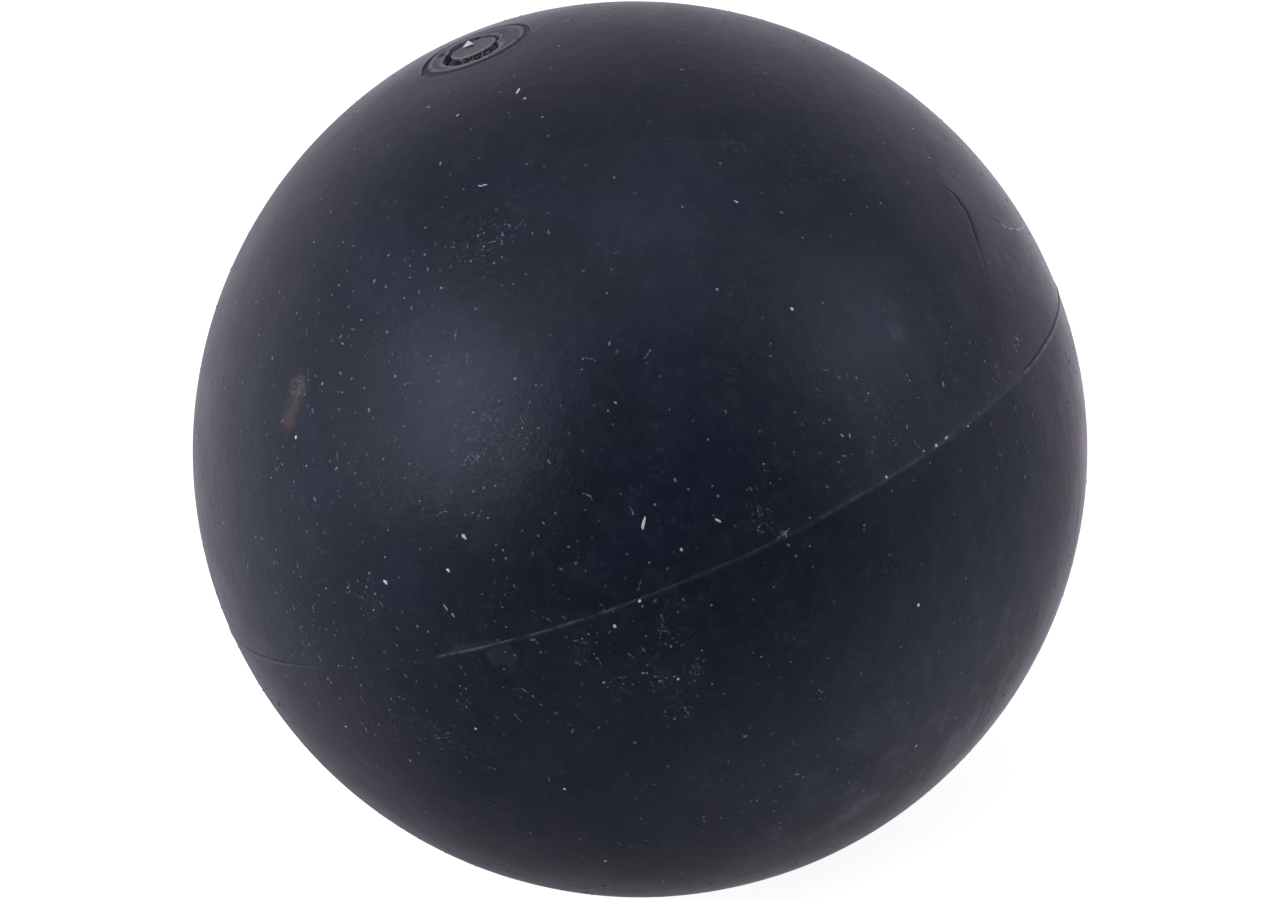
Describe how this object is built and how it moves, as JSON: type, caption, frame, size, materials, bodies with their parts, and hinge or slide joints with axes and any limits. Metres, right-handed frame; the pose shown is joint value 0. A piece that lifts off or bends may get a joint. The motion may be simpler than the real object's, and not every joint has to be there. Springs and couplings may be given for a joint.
{
  "type": "hollow plastic ball",
  "caption": "Hand-size hollow ball of soft dark plastic, with a fine parting line round its middle and a flush valve ring with a pressed-in stopper at one pole.",
  "frame": {"origin": "centre of the ball", "axes": "+Z out through the valve, with the parting line in the XY plane"},
  "size_m": [0.0652, 0.0652, 0.065],
  "materials": {
    "skin": "matte moulded skin with a thin dusty bloom",
    "ring": "matte, a little scuffed",
    "stopper": "matte, cut flat"
  },
  "bodies": {
    "root": {"ball_shell": "skin", "valve_ring": "ring", "stopper": "stopper"}
  },
  "joints": []
}
